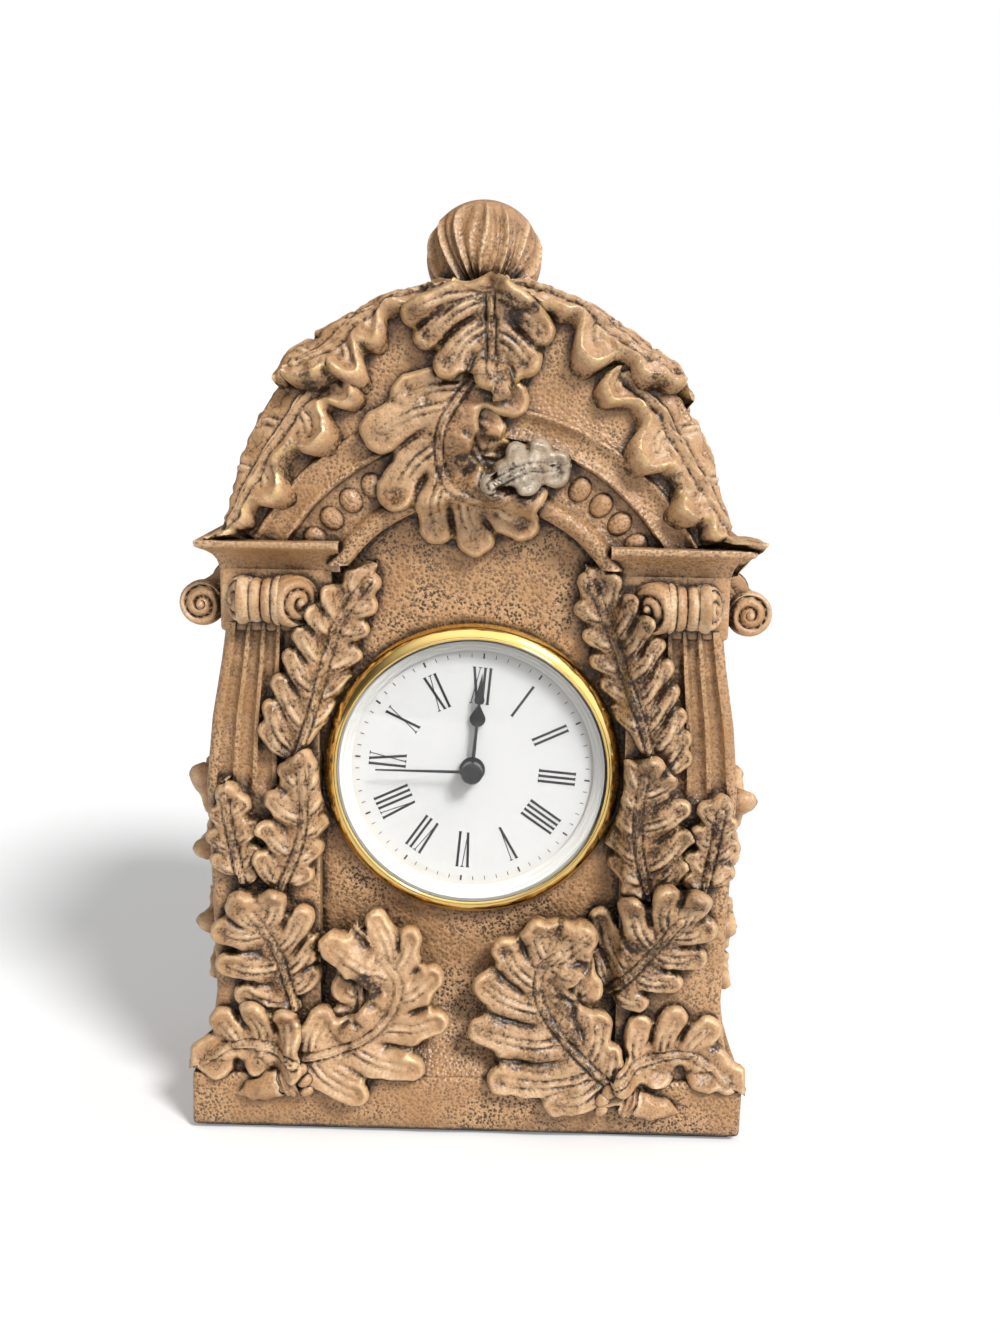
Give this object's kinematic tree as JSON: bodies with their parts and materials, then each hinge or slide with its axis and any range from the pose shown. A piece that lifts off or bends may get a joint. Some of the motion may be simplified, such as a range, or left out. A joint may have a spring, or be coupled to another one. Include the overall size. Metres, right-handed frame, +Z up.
{
  "type": "mantel clock",
  "caption": "Arched mantel clock: a cast resin case with oak-leaf relief, fluted columns and a ball finial, holding a round quartz insert that pulls out.",
  "frame": {"origin": "on the table, under the middle of the base", "axes": "+Z up, -Y towards the front of the dial, +X to the viewer's right"},
  "size_m": [0.142, 0.0713, 0.2273],
  "materials": {
    "cast_resin": "tan cold-cast resin with an umber antique wash and faint gold on the leaf edges",
    "felt": "thin felt",
    "polished_brass": "polished",
    "clear_lens": "clear, domed",
    "pale_ring": "satin",
    "dial_card": "matt off-white with printed numerals",
    "black_plastic": "moulded",
    "black_rubber": "ribbed",
    "grey_plastic": "moulded",
    "wheel_plastic": "natural acetal",
    "board": "resin board with solder mask",
    "bright_steel": "bright",
    "copper_wire": "enamelled copper",
    "spring_brass": "spring strip",
    "black_enamel": "black",
    "white_plastic": "moulded"
  },
  "bodies": {
    "case": {"case_casting": "cast_resin", "base_felt": "felt"},
    "insert": {"bezel": "polished_brass", "lens": "clear_lens", "reflector_ring": "pale_ring", "dial": "dial_card", "insert_cup": "black_plastic", "grip_band": "black_rubber", "movement_housing": "grey_plastic", "movement_back": "grey_plastic", "circuit_board": "board", "timing_chip": "black_plastic", "quartz_crystal": "bright_steel", "coil_bobbin": "white_plastic", "coil_winding": "copper_wire", "stator": "bright_steel", "battery_cell": "bright_steel", "contact_plus": "spring_brass", "contact_minus": "spring_brass", "back_screws": "bright_steel"},
    "second_arbor": {"seconds_wheel": "wheel_plastic", "second_hand": "black_enamel"},
    "minute_arbor": {"minute_pipe": "wheel_plastic", "minute_hand": "black_enamel"},
    "hour_arbor": {"hour_wheel": "wheel_plastic", "hour_hand": "black_enamel"},
    "third_arbor": {"third_wheel": "wheel_plastic"},
    "centre_arbor": {"centre_wheel": "wheel_plastic"},
    "intermediate_arbor": {"intermediate_wheel": "wheel_plastic"},
    "rotor_arbor": {"rotor": "wheel_plastic"},
    "motion_arbor": {"motion_wheel": "wheel_plastic"},
    "knob": {"setting_knob": "white_plastic"},
    "hatch": {"battery_hatch": "black_plastic"}
  },
  "joints": [
    {"name": "insert_pull", "type": "slide", "parent": "case", "child": "insert", "axis": [0, -1, 0], "range_m": [0, 0.03]},
    {"name": "second_spin", "type": "hinge", "parent": "insert", "child": "second_arbor", "pos_m": [0, -0.022, 0.0916], "axis": [0, 1, 0], "continuous": true},
    {"name": "third_spin", "type": "hinge", "parent": "insert", "child": "third_arbor", "pos_m": [-0.0067, -0.022, 0.08847], "axis": [0, 1, 0], "continuous": true},
    {"name": "centre_spin", "type": "hinge", "parent": "insert", "child": "centre_arbor", "pos_m": [0, -0.022, 0.0916], "axis": [0, 1, 0], "continuous": true},
    {"name": "intermediate_spin", "type": "hinge", "parent": "insert", "child": "intermediate_arbor", "pos_m": [0.00619, -0.022, 0.08726], "axis": [0, 1, 0], "continuous": true},
    {"name": "rotor_spin", "type": "hinge", "parent": "insert", "child": "rotor_arbor", "pos_m": [0.01187, -0.022, 0.08826], "axis": [0, 1, 0], "continuous": true},
    {"name": "minute_spin", "type": "hinge", "parent": "insert", "child": "minute_arbor", "pos_m": [0, -0.022, 0.0916], "axis": [0, 1, 0], "continuous": true},
    {"name": "motion_spin", "type": "hinge", "parent": "insert", "child": "motion_arbor", "pos_m": [0.00063, -0.022, 0.09877], "axis": [0, 1, 0], "continuous": true},
    {"name": "hour_spin", "type": "hinge", "parent": "insert", "child": "hour_arbor", "pos_m": [0, -0.022, 0.0916], "axis": [0, 1, 0], "continuous": true},
    {"name": "knob_spin", "type": "hinge", "parent": "insert", "child": "knob", "pos_m": [0.00126, -0.022, 0.10595], "axis": [0, 1, 0], "continuous": true},
    {"name": "hatch_pull", "type": "slide", "parent": "insert", "child": "hatch", "axis": [0, 1, 0], "range_m": [0, 0.012]}
  ],
  "couplings": [
    {"joint": "third_spin", "follows": "second_spin", "ratio": -0.13333},
    {"joint": "centre_spin", "follows": "second_spin", "ratio": 0.016667},
    {"joint": "intermediate_spin", "follows": "second_spin", "ratio": -6},
    {"joint": "rotor_spin", "follows": "second_spin", "ratio": 30},
    {"joint": "motion_spin", "follows": "minute_spin", "ratio": -0.33333},
    {"joint": "hour_spin", "follows": "minute_spin", "ratio": 0.083333},
    {"joint": "knob_spin", "follows": "minute_spin", "ratio": 1}
  ]
}
